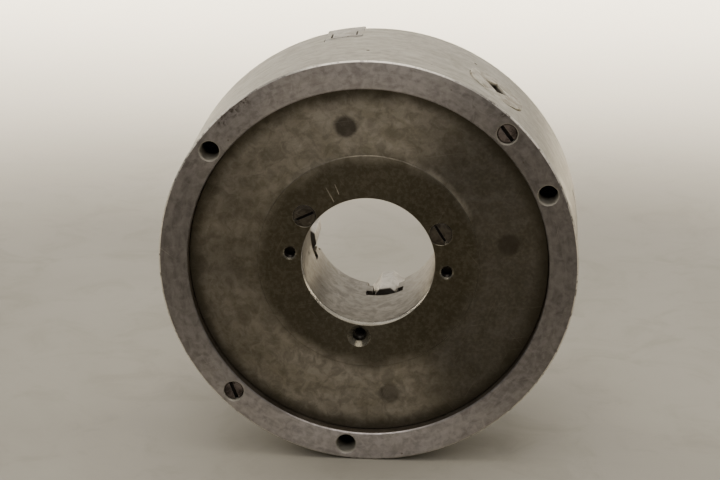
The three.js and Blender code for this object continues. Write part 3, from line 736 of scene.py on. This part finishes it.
class Shader:
    """Short names for the nodes of one material. Sizes are in metres and colours in linear light."""

    def __init__(self, name, seed=0.0):
        self.material = bpy.data.materials.new(name)
        self.material.use_nodes = True
        self.tree = self.material.node_tree
        self.surface = self.tree.nodes["Principled BSDF"]
        coordinates = self.tree.nodes.new("ShaderNodeTexCoord")
        self.place = coordinates.outputs["Object"]
        self.x, self.y, self.z = self.split(self.place)
        flat = self.vector("MULTIPLY", self.place, (1, 0, 1))
        self.radius = self.vector("LENGTH", flat, output="Value")
        self.spoke = self.vector("NORMALIZE", flat)
        self.shifted = self.vector("ADD", self.place, (seed, 0.37 * seed, -seed))

    def put(self, socket, value):
        if isinstance(value, bpy.types.NodeSocket):
            self.tree.links.new(value, socket)
        else:
            socket.default_value = value

    def node(self, kind, values, output=0, **settings):
        node = self.tree.nodes.new(kind)
        for setting, value in settings.items():
            setattr(node, setting, value)
        for socket, value in values.items():
            self.put(node.inputs[socket], value)
        return node.outputs[output]

    def split(self, vector):
        node = self.tree.nodes.new("ShaderNodeSeparateXYZ")
        self.put(node.inputs[0], vector)
        return node.outputs

    def vector(self, operation, first, second=(0, 0, 0), output="Vector"):
        return self.node("ShaderNodeVectorMath", {0: first, 1: second}, output, operation=operation)

    def math(self, operation, first, second=0.0):
        return self.node("ShaderNodeMath", {0: first, 1: second}, operation=operation)

    def total(self, *shares):
        """The sum of (amount, value) pairs."""
        result = 0.0
        for amount, value in shares:
            result = self.math("ADD", self.math("MULTIPLY", value, amount), result)
        return result

    def both(self, first, *others):
        for other in others:
            first = self.math("MULTIPLY", first, other)
        return first

    def ramp(self, value, start, end, low=0.0, high=1.0):
        """A smooth step of a value, from low at start to high at end."""
        values = {"Value": value, "From Min": start, "From Max": end, "To Min": low, "To Max": high}
        return self.node("ShaderNodeMapRange", values, interpolation_type="SMOOTHSTEP")

    def mix(self, amount, first, second, blend="MIX"):
        values = {0: amount}
        for index, colour in ((6, first), (7, second)):
            values[index] = colour if isinstance(colour, bpy.types.NodeSocket) else (*colour, 1)
        return self.node("ShaderNodeMix", values, 2, data_type="RGBA", blend_type=blend)

    def noise(self, scale, detail=4.0, roughness=0.55, distortion=0.0, place=None):
        values = {"Vector": place or self.shifted, "Scale": scale, "Detail": detail}
        values.update({"Roughness": roughness, "Distortion": distortion})
        return self.node("ShaderNodeTexNoise", values)

    def rings(self, scale, drift=1.2):
        """Turning marks: bands about the spindle axis, which cross flat faces and cylinders alike."""
        along = self.math("ADD", self.radius, self.y)
        around = self.vector("MULTIPLY", self.spoke, (drift, drift, drift))
        x, _, z = self.split(around)
        place = self.node("ShaderNodeCombineXYZ", {0: x, 1: self.math("MULTIPLY", along, scale), 2: z})
        return self.noise(1.0, 3.0, 0.6, place=place)

    def scratches(self, turns, length, width, rarity):
        """Fine straight scratches in a few directions across the chuck."""
        result = 0.0
        for turn in turns:
            values = {"Vector": self.shifted, "Axis": (0.0, 1.0, 0.0), "Angle": math.radians(turn)}
            turned = self.node("ShaderNodeVectorRotate", values)
            stretched = self.vector("MULTIPLY", turned, (length, width, width))
            line = self.ramp(self.noise(1.0, 2.0, 0.5, place=stretched), rarity, rarity + 0.07)
            result = self.math("MAXIMUM", line, result)
        patches = self.ramp(self.noise(38, 2), 0.42, 0.6)
        return self.both(result, patches)

    def flecks(self, scale, size, share):
        """Small round specks: in a share of the cells of a grid there is one."""
        cell = self.tree.nodes.new("ShaderNodeTexVoronoi")
        self.put(cell.inputs["Vector"], self.shifted)
        self.put(cell.inputs["Scale"], scale)
        chance, spread, _ = self.split(cell.outputs["Color"])
        reach = self.math("MULTIPLY", spread, size)
        near = self.math("LESS_THAN", cell.outputs["Distance"], reach)
        return self.both(near, self.math("LESS_THAN", chance, share))

    def smears(self, along, across, place_seed=0.0):
        """Wiped smears, long around the spindle axis and short across it."""
        x, _, z = self.split(self.spoke)
        out = self.math("MULTIPLY", self.math("ADD", self.radius, self.y), across)
        values = {0: self.math("MULTIPLY", x, along), 1: out, 2: self.math("MULTIPLY", z, along)}
        place = self.node("ShaderNodeCombineXYZ", values)
        place = self.vector("ADD", place, (place_seed, 0, 0))
        return self.noise(1.0, 5.0, 0.6, 0.6, place=place)

    def sides(self, lean):
        """How near a point is to the chuck's left or right side, with a ragged border; it leans to +X. It
        masks painted shade at the sides.
        """
        x, _, _ = self.split(self.spoke)
        aside = self.math("ABSOLUTE", x)
        ragged = self.total((1.0, aside), (lean, x), (0.4, self.noise(26, 4)), (-0.2, 1.0))
        return self.ramp(ragged, 0.25, 0.95)

    def shade(self, colour, amount):
        """Multiplies a colour by a grey amount."""
        grey = self.node("ShaderNodeCombineXYZ", {0: amount, 1: amount, 2: amount})
        return self.mix(1.0, colour, grey, "MULTIPLY")

    def edges(self, width):
        """Where the surface turns a corner."""
        values = {"Radius": width}
        softened = self.node("ShaderNodeBevel", values, "Normal", samples=4)
        geometry = self.tree.nodes.new("ShaderNodeNewGeometry")
        agreement = self.vector("DOT_PRODUCT", softened, geometry.outputs["Normal"], "Value")
        return self.ramp(agreement, 0.995, 0.9)

    def spot(self, radius, degrees, size, soft):
        """A round spot on the faces across the spindle axis."""
        angle = math.radians(degrees)
        centre = (radius * math.cos(angle), 0, radius * math.sin(angle))
        flat = self.vector("MULTIPLY", self.place, (1, 0, 1))
        away = self.vector("DISTANCE", flat, centre, "Value")
        ragged = self.math("ADD", away, self.math("MULTIPLY", self.noise(160, 3), size * 0.5))
        return self.ramp(ragged, size * (1.25 + soft), size * (1.25 - soft))

    def finish(self, colour, roughness, height, metallic, relief=0.00012):
        """Joins the channels to the surface; the height becomes a fine relief."""
        bump = self.node("ShaderNodeBump", {"Strength": 0.6, "Distance": relief, "Height": height})
        self.put(self.surface.inputs["Base Color"], colour)
        self.put(self.surface.inputs["Roughness"], roughness)
        self.put(self.surface.inputs["Metallic"], metallic)
        self.put(self.surface.inputs["Normal"], bump)
        return self.material

    def circular_grain(self, amount):
        """Stretches the gloss across the turning marks."""
        self.put(self.surface.inputs["Anisotropic"], amount)
        self.put(self.surface.inputs["Anisotropic Rotation"], 0.25)
        tangent = self.node("ShaderNodeTangent", {}, direction_type="RADIAL", axis="Y")
        self.put(self.surface.inputs["Tangent"], tangent)


def body_steel():
    """Turned steel: a bright cylinder, a darker handled rim with painted shade at its left and right sides
    and painted light towards its bottom, a recess and deep holes painted dark as shade, and worn, bright
    edges with a partly painted highlight on the rear chamfer.
    """
    s = Shader("body_worn_steel", 0.0)
    clouds = s.ramp(s.noise(24, 4, 0.55, 0.4), 0.34, 0.66)
    smears = s.ramp(s.smears(9.0, 260), 0.36, 0.66)
    mottle = s.ramp(s.noise(210, 5, 0.6, 0.5), 0.36, 0.66)
    grain = s.noise(1500, 3)
    scratches = s.scratches((14, 78, -37), 34.0, 1500.0, 0.66)
    rings = s.rings(1900)
    bands = s.rings(700, 0.25)
    edges = s.edges(0.0005)
    pits = s.flecks(330, 0.22, 0.035)

    rear = s.both(s.ramp(s.y, 1.2 * MM, 0.8 * MM), s.ramp(s.radius, 106.8 * MM, 107.2 * MM))
    outer = s.both(s.ramp(s.radius, 124.55 * MM, 124.8 * MM), s.ramp(s.y, 0.3 * MM, 0.9 * MM))
    bore = s.both(s.ramp(s.radius, 40.5 * MM, 40.2 * MM), s.ramp(s.y, 5 * MM, 6 * MM))
    front = s.ramp(s.y, 85.2 * MM, 85.8 * MM)
    chamfer = s.both(s.ramp(s.radius, 124.05 * MM, 124.2 * MM), s.ramp(s.y, 1.1 * MM, 0.9 * MM))
    hole = s.both(s.ramp(s.radius, 108.6 * MM, 108.8 * MM), s.ramp(s.radius, 123.4 * MM, 123.2 * MM))
    hole = s.both(hole, s.ramp(s.y, 0.05 * MM, 0.2 * MM), s.ramp(s.y, 30 * MM, 28 * MM))
    # Painted shade: deep inside the tapped holes the wall is painted nearly black.
    deep_hole_shade = s.both(hole, s.ramp(s.y, 9 * MM, 18 * MM))

    # Painted shade: the recess and the other inner surfaces are coloured darker than the rim.
    inside = s.mix(clouds, (0.15, 0.127, 0.098), (0.23, 0.198, 0.157))
    inside = s.mix(s.both(mottle, 0.5), inside, (0.08, 0.062, 0.043))
    rim = s.mix(clouds, (0.325, 0.30, 0.288), (0.395, 0.37, 0.36))
    rim = s.mix(s.both(smears, 0.6), rim, (0.225, 0.202, 0.195))
    rim = s.mix(s.both(mottle, 0.65), rim, (0.50, 0.465, 0.46))
    skin = s.mix(clouds, (0.45, 0.423, 0.367), (0.57, 0.54, 0.473))
    skin = s.mix(s.both(smears, 0.55), skin, (0.355, 0.325, 0.27))
    skin = s.mix(s.both(mottle, 0.38), skin, (0.66, 0.632, 0.56))
    wall = s.mix(clouds, (0.33, 0.305, 0.262), (0.41, 0.38, 0.33))
    wall = s.mix(s.both(smears, 0.4), wall, (0.22, 0.195, 0.16))
    # Painted shade: the bore wall is darker towards its bottom.
    wall = s.shade(wall, s.ramp(s.z, -24 * MM, -38 * MM, 1.0, 0.78))
    face = s.mix(clouds, (0.40, 0.375, 0.33), (0.49, 0.465, 0.415))
    face = s.mix(s.both(s.ramp(bands, 0.35, 0.65), 0.4), face, (0.30, 0.275, 0.235))
    face = s.mix(s.both(mottle, 0.3), face, (0.27, 0.24, 0.20))

    # Painted shade: the rim is darker at its left and right sides; painted light makes it lighter towards
    # the bottom.
    rim = s.shade(rim, s.total((-0.55, s.sides(0.12)), (1.10, 1.0), (0.3, s.ramp(s.z, 0, -110 * MM))))
    colour = s.mix(rear, inside, rim)
    colour = s.mix(front, colour, face)
    colour = s.mix(outer, colour, skin)
    colour = s.mix(bore, colour, wall)
    colour = s.mix(s.both(hole, 0.8), colour, (0.50, 0.47, 0.40))
    # Painted shade: the oil hole is painted nearly black inside.
    oil_hole = s.both(s.ramp(s.radius, 40.1 * MM, 40.6 * MM), s.ramp(s.radius, 55 * MM, 54 * MM))
    oil_hole = s.both(oil_hole, s.ramp(s.y, 50 * MM, 48 * MM))
    colour = s.mix(s.math("MAXIMUM", deep_hole_shade, oil_hole), colour, (0.02, 0.017, 0.013))
    # Painted shade: the punch marks are painted dark inside.
    punch_mark_shade = s.both(s.ramp(s.radius, 124.9 * MM, 124.6 * MM), s.ramp(s.radius, 123.4 * MM, 123.5 * MM))
    punch_mark_shade = s.both(punch_mark_shade, s.ramp(s.y, 20 * MM, 22 * MM), s.ramp(s.y, 85 * MM, 84 * MM))
    colour = s.mix(punch_mark_shade, colour, (0.035, 0.027, 0.02))
    tint = s.total((0.22, grain), (0.16, bands), (0.81, 1.0))
    colour = s.shade(colour, tint)
    colour = s.mix(s.both(scratches, 0.22), colour, (0.70, 0.66, 0.59))
    dark_scratches = s.scratches((52, -68, 5), 45.0, 1300.0, 0.70)
    colour = s.mix(s.both(dark_scratches, 0.5), colour, (0.13, 0.105, 0.08))
    for degrees, size in ((126, 3.2), (130, 4.0), (134.5, 3.4), (50, 1.6)):
        streaks = s.ramp(s.noise(420, 4, 0.6, 0.4), 0.45, 0.58)
        bruise = s.both(s.spot(122.8 * MM, degrees, size * MM, 0.8), streaks)
        bruise = s.both(bruise, s.ramp(s.y, 1.6 * MM, 0.9 * MM))
        colour = s.mix(s.both(bruise, 0.8), colour, (0.06, 0.046, 0.036))
    worn = s.ramp(s.noise(300, 3), 0.34, 0.6)
    colour = s.mix(s.both(edges, worn, 0.55), colour, (0.74, 0.70, 0.63))
    # The rear chamfer is painted bright in broken patches: partly worn bright metal, partly a painted
    # highlight.
    chamfer_wear_and_glint = s.ramp(s.noise(260, 4, 0.7), 0.36, 0.5)
    colour = s.mix(s.both(chamfer, chamfer_wear_and_glint, 0.9), colour, (0.86, 0.82, 0.75))
    colour = s.mix(s.both(pits, 0.6), colour, (0.12, 0.085, 0.06))

    roughness = s.total((0.06, clouds), (0.10, smears), (0.08, grain), (-0.10, chamfer))
    roughness = s.total((1.0, roughness), (0.22, hole), (0.34, 1.0))
    height = s.total((0.35, rings), (0.2, grain), (-0.8, pits), (-0.3, scratches), (-0.35, dark_scratches))
    s.circular_grain(0.6)
    return s.finish(colour, roughness, height, s.total((-0.6, hole), (0.92, 1.0)))


def cover_steel():
    """The oiled, stained cover: olive brown, fading darker inside its step, with round stains, painted
    shade at its sides and a painted highlight above its step.
    """
    s = Shader("cover_stained_steel", 0.31)
    clouds = s.ramp(s.noise(15, 4, 0.6, 0.7), 0.34, 0.66)
    puddles = s.ramp(s.noise(36, 5, 0.6, 0.8), 0.44, 0.58)
    smears = s.ramp(s.smears(5.0, 120, 3.1), 0.38, 0.64)
    mottle = s.ramp(s.noise(150, 5, 0.62, 0.6), 0.38, 0.64)
    specks = s.ramp(s.noise(460, 4, 0.62), 0.40, 0.66)
    grain = s.noise(1300, 3)
    rings = s.rings(1300)
    scratches = s.scratches((9, 62, -48), 30.0, 1500.0, 0.66)
    edges = s.edges(0.0005)

    inner = s.ramp(s.total((1.0, s.radius), (0.016, s.noise(48, 3)), (-0.008, 1.0)), 73 * MM, 60 * MM)
    border = s.ramp(s.total((1.0, s.radius), (0.012, s.noise(70, 5)), (-0.006, 1.0)), 97 * MM, 106 * MM)
    colour = s.mix(clouds, (0.240, 0.214, 0.165), (0.315, 0.284, 0.235))
    colour = s.mix(s.both(puddles, 0.4), colour, (0.215, 0.190, 0.132))
    colour = s.mix(s.both(smears, 0.45), colour, (0.40, 0.362, 0.305))
    # Painted shade: the cover is darker at its left and right sides, more so on the right.
    colour = s.shade(colour, s.total((-0.86, s.sides(0.3)), (1.21, 1.0)))
    x, _, z = s.split(s.spoke)
    aside = s.math("ABSOLUTE", x)
    # Painted highlight: a light band on the upper part of the step at 66 mm.
    upper = s.both(s.ramp(aside, 0.22, 0.45), s.ramp(aside, 0.97, 0.8), s.ramp(z, 0.1, 0.4))
    band = s.both(s.ramp(s.radius, 65.8 * MM, 66.6 * MM), s.ramp(s.radius, 71 * MM, 67.5 * MM), upper)
    colour = s.mix(s.both(inner, 0.93), colour, (0.052, 0.044, 0.025))
    colour = s.mix(s.both(band, s.ramp(s.noise(60, 4), 0.3, 0.6), 0.62), colour, (0.40, 0.37, 0.315))
    colour = s.mix(s.both(mottle, 0.42), colour, (0.088, 0.072, 0.048))
    colour = s.mix(s.both(specks, 0.14), colour, (0.30, 0.275, 0.225))
    for degrees, strength in ((99, 0.82), (9, 0.7), (279, 0.6), (52, 0.2)):
        stain = s.spot(STAIN_RADIUS, degrees, 6.4 * MM, 0.24)
        colour = s.mix(s.both(stain, strength), colour, (0.045, 0.036, 0.026))
    colour = s.mix(s.both(border, 0.8), colour, (0.062, 0.052, 0.033))
    tint = s.total((0.36, grain), (0.82, 1.0))
    colour = s.shade(colour, tint)
    colour = s.mix(s.both(scratches, 0.14), colour, (0.42, 0.38, 0.32))
    colour = s.mix(s.both(edges, s.ramp(s.noise(90, 3), 0.32, 0.55), 0.42), colour, (0.46, 0.42, 0.35))
    hole_ring = s.ramp(s.radius, 56 * MM, 54 * MM)
    scribed = s.both(s.ramp(s.y, COVER_FACE_Y + 0.04 * MM, COVER_FACE_Y + 0.12 * MM), hole_ring)
    scribed = s.both(scribed, s.ramp(s.y, 6.6 * MM, 6.5 * MM), s.ramp(z, 0.8, 0.84))
    scribed = s.both(scribed, s.ramp(x, -0.33, -0.35))
    colour = s.mix(scribed, colour, (0.50, 0.46, 0.39))
    sunk = s.both(s.ramp(s.y, 6.15 * MM, 6.4 * MM), hole_ring)
    colour = s.mix(s.both(sunk, s.ramp(z, 0.8, 0.7), 0.5), colour, (0.40, 0.37, 0.30))
    # Painted shade: the jacking holes are painted nearly black inside.
    level = s.ramp(s.math("ABSOLUTE", s.z), 10.5 * MM, 9.5 * MM)
    jack_hole_shade = s.both(level, s.ramp(s.y, 6.5 * MM, 7.6 * MM), sunk)
    colour = s.mix(jack_hole_shade, colour, (0.03, 0.025, 0.02))

    roughness = s.total((0.10, clouds), (-0.08, inner), (0.10, mottle), (0.08, grain))
    roughness = s.total((1.0, roughness), (-0.20, sunk), (0.38, 1.0))
    height = s.total((0.3, rings), (0.3, grain), (0.15, mottle), (0.12, specks), (-0.25, scratches))
    s.circular_grain(0.55)
    return s.finish(colour, roughness, height, 0.78)


def small_steel(name, seed, clean, dirty, metallic=0.85, rough=0.38, shade_below=None, slot_shade_from=None):
    """Screws, pinions and the scroll: one steel with its dirt and bright corners.

    Given a radius, it is painted dark as shade nearer the spindle axis than that, in the key socket; given
    a depth, its slots are painted dark as shade past it.
    """
    s = Shader(name, seed)
    dirt = s.ramp(s.noise(170, 5, 0.6, 0.6), 0.38, 0.64)
    grain = s.noise(1700, 4)
    scratches = s.scratches((33, -25), 70.0, 1700.0, 0.64)
    pits = s.flecks(520, 0.22, 0.05)
    edges = s.edges(0.0004)
    bright = tuple(min(1.0, 0.17 + 1.5 * channel) for channel in clean)
    colour = s.mix(dirt, clean, dirty)
    tint = s.total((0.3, grain), (0.85, 1.0))
    colour = s.shade(colour, tint)
    colour = s.mix(s.both(scratches, 0.3), colour, bright)
    colour = s.mix(s.both(edges, 0.75), colour, bright)
    colour = s.mix(s.both(pits, 0.6), colour, tuple(0.4 * channel for channel in dirty))
    # Painted shade: driver slots are painted nearly black past a depth.
    if slot_shade_from is not None:
        sunk = s.ramp(s.y, slot_shade_from, slot_shade_from + 0.9 * MM)
        colour = s.mix(s.both(sunk, 0.9), colour, (0.012, 0.010, 0.009))
    # Painted shade: the key socket, nearer the spindle axis than a given radius, is painted nearly black.
    if shade_below is not None:
        recess_shade = s.ramp(s.radius, shade_below, shade_below - 1.5 * MM)
        colour = s.mix(s.both(recess_shade, 0.9), colour, (0.04, 0.032, 0.024))
    roughness = s.total((0.12, dirt), (0.1, grain), (-0.06, edges), (rough, 1.0))
    height = s.total((0.3, grain), (0.3, scratches), (-0.8, pits))
    return s.finish(colour, roughness, height, metallic, 0.00008)


def jaw_steel():
    """Ground, hardened steel with dark heat tint away from the ground faces."""
    s = Shader("jaw_ground_steel", 0.77)
    clouds = s.ramp(s.noise(32, 5, 0.6, 0.5), 0.36, 0.64)
    blotches = s.ramp(s.noise(150, 6, 0.65, 0.8), 0.44, 0.66)
    grain = s.noise(1400, 3)
    grinding = s.scratches((0, 90), 12.0, 1700.0, 0.5)
    knocks = s.scratches((40, -62, 12), 60.0, 900.0, 0.64)
    edges = s.edges(0.0009)
    pits = s.flecks(300, 0.18, 0.05)
    colour = s.mix(clouds, (0.47, 0.445, 0.40), (0.60, 0.57, 0.52))
    colour = s.mix(s.both(blotches, 0.35), colour, (0.27, 0.24, 0.195))
    tint = s.total((0.4, grain), (0.15, grinding), (0.75, 1.0))
    colour = s.shade(colour, tint)
    colour = s.mix(s.both(knocks, 0.5), colour, (0.17, 0.14, 0.11))
    colour = s.mix(s.both(edges, s.ramp(s.noise(220, 3), 0.34, 0.6), 0.8), colour, (0.76, 0.73, 0.68))
    colour = s.mix(s.both(pits, 0.75), colour, (0.1, 0.07, 0.045))
    # Painted shade: the teeth and web under the guide ribs, inside the body, are painted nearly black.
    recess_shade = s.both(s.ramp(s.y, 68.5 * MM, 66 * MM), s.ramp(s.radius, 118 * MM, 112 * MM))
    colour = s.mix(s.both(recess_shade, 0.9), colour, (0.035, 0.028, 0.02))
    roughness = s.total((0.12, clouds), (0.16, blotches), (0.1, grain), (-0.08, edges), (0.27, 1.0))
    height = s.total((0.35, grinding), (0.25, grain), (-0.8, pits), (-0.4, knocks))
    return s.finish(colour, roughness, height, 0.9)


def floor_material():
    """A pale bench top with faint smudges and fine scuffs, paler towards the back."""
    s = Shader("bench_top", 1.9)
    clouds = s.ramp(s.noise(3.5, 5, 0.6, 0.5), 0.34, 0.66)
    smudges = s.ramp(s.noise(22, 6, 0.65, 0.9), 0.46, 0.7)
    grain = s.noise(520, 3)
    colour = s.mix(clouds, (0.41, 0.385, 0.33), (0.465, 0.44, 0.38))
    colour = s.mix(s.both(smudges, 0.35), colour, (0.34, 0.315, 0.265))
    distance = s.vector("LENGTH", s.place, output="Value")
    colour = s.mix(s.ramp(distance, 0.45, 0.95), colour, (0.86, 0.80, 0.69))
    roughness = s.total((0.12, smudges), (0.1, grain), (0.55, 1.0))
    return s.finish(colour, roughness, grain, 0.0, 0.0002)


def paint(objects, material):
    """Gives objects one material in place of any they have."""
    for obj in objects:
        obj.data.materials.clear()
        obj.data.materials.append(material)


paint([pieces["body"]], body_steel())
paint([pieces["cover"]], cover_steel())
cover_screw_steel = small_steel(
    "cover_screw_steel",
    0.13,
    (0.10, 0.086, 0.068),
    (0.045, 0.037, 0.028),
    slot_shade_from=COVER_FACE_Y + SLOT_SHADOW,
)
paint(pieces["cover_screws"], cover_screw_steel)
grub_screw_steel = small_steel(
    "grub_screw_steel",
    0.23,
    (0.20, 0.165, 0.152),
    (0.06, 0.047, 0.042),
    slot_shade_from=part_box("pinion_screw_1")[0].y + SLOT_SHADOW,
)
paint(pieces["pinion_screws"], grub_screw_steel)
pinion_steel = small_steel(
    "pinion_turned_steel", 0.41, (0.56, 0.53, 0.46), (0.37, 0.33, 0.265), shade_below=124.9 * MM
)
paint(pieces["pinions"], pinion_steel)
paint(pieces["base_jaws"] + pieces["top_jaws"], jaw_steel())
black_oxide = small_steel(
    "cap_screw_black_steel", 0.63, (0.045, 0.04, 0.036), (0.10, 0.085, 0.07), 0.7, 0.3
)
paint(pieces["cap_screws"], black_oxide)
scroll_steel = small_steel(
    "scroll_oiled_steel", 0.89, (0.36, 0.325, 0.28), (0.15, 0.12, 0.09), 0.9, 0.26
)
for material_slot in frame["nodes"]["scroll_plate"].material_slots:
    material_slot.material = scroll_steel

# ---- Floor, light and camera ----


def aim(obj, target):
    obj.rotation_mode = "QUATERNION"
    obj.rotation_quaternion = (Vector(target) - obj.location).to_track_quat("-Z", "Y")


def area_light(name, place, target, width, height, radiance, colour, spread=180):
    """A soft rectangular light of an even brightness, hidden from the camera itself."""
    light = bpy.data.lights.new(name, "AREA")
    light.shape = "RECTANGLE"
    light.size, light.size_y = width, height
    light.energy = radiance * math.pi * width * height
    light.color = colour
    light.spread = math.radians(spread)
    obj = bpy.data.objects.new(name, light)
    bpy.context.scene.collection.objects.link(obj)
    obj.location = place
    obj.visible_camera = False
    aim(obj, target)


floor_bm = bmesh.new()
bmesh.ops.create_grid(floor_bm, x_segments=8, y_segments=8, size=6)
bmesh.ops.translate(floor_bm, verts=floor_bm.verts, vec=(0, 0, FLOOR_Z))
floor = new_object("floor", floor_bm)
if floor.data.polygons[0].normal.z < 0:
    floor.data.flip_normals()
paint([floor], floor_material())

centre = Vector((0, BODY_DEPTH / 2, 0))
warm, neutral = (1.0, 0.935, 0.82), (1.0, 0.975, 0.955)
area_light("back_light", (-0.5, 2.2, 1.1), centre + Vector((0, 0.5, 0)), 4.6, 1.9, 1.25, warm)
area_light("top_light", (0.0, -0.15, 1.75), centre, 1.7, 1.3, 2.2, warm)
area_light("front_light", (-0.15, -1.5, 1.55), centre, 0.9, 0.9, 1.98, neutral)
area_light("floor_light", (0.0, 1.65, 1.2), (0.0, 1.65, FLOOR_Z), 4.4, 1.2, 5.2, warm, 60)
for side in (-1, 1):
    area_light(f"side_light_{side + 2}", (2.6 * side, 0.9, 1.5), centre, 1.8, 1.5, 2.6, warm)

world = bpy.data.worlds.new("soft_room")
bpy.context.scene.world = world
world.use_nodes = True
sky = world.node_tree.nodes["Background"]
sky.inputs["Color"].default_value = (1.0, 0.965, 0.91, 1)
sky.inputs["Strength"].default_value = 0.2

CAMERA_PLACE = Vector((0.09685, -1.23615, 0.42560))
CAMERA_TURN = -0.0816
CAMERA_TILT = -0.3189
camera_data = bpy.data.cameras.new("camera")
camera_data.sensor_width = 36
camera_data.lens = 110.45
camera = bpy.data.objects.new("camera", camera_data)
bpy.context.scene.collection.objects.link(camera)
camera.location = CAMERA_PLACE
level = Vector((math.sin(CAMERA_TURN), math.cos(CAMERA_TURN), 0)) * math.cos(CAMERA_TILT)
aim(camera, CAMERA_PLACE + level + Vector((0, 0, math.sin(CAMERA_TILT))))
bpy.context.scene.camera = camera
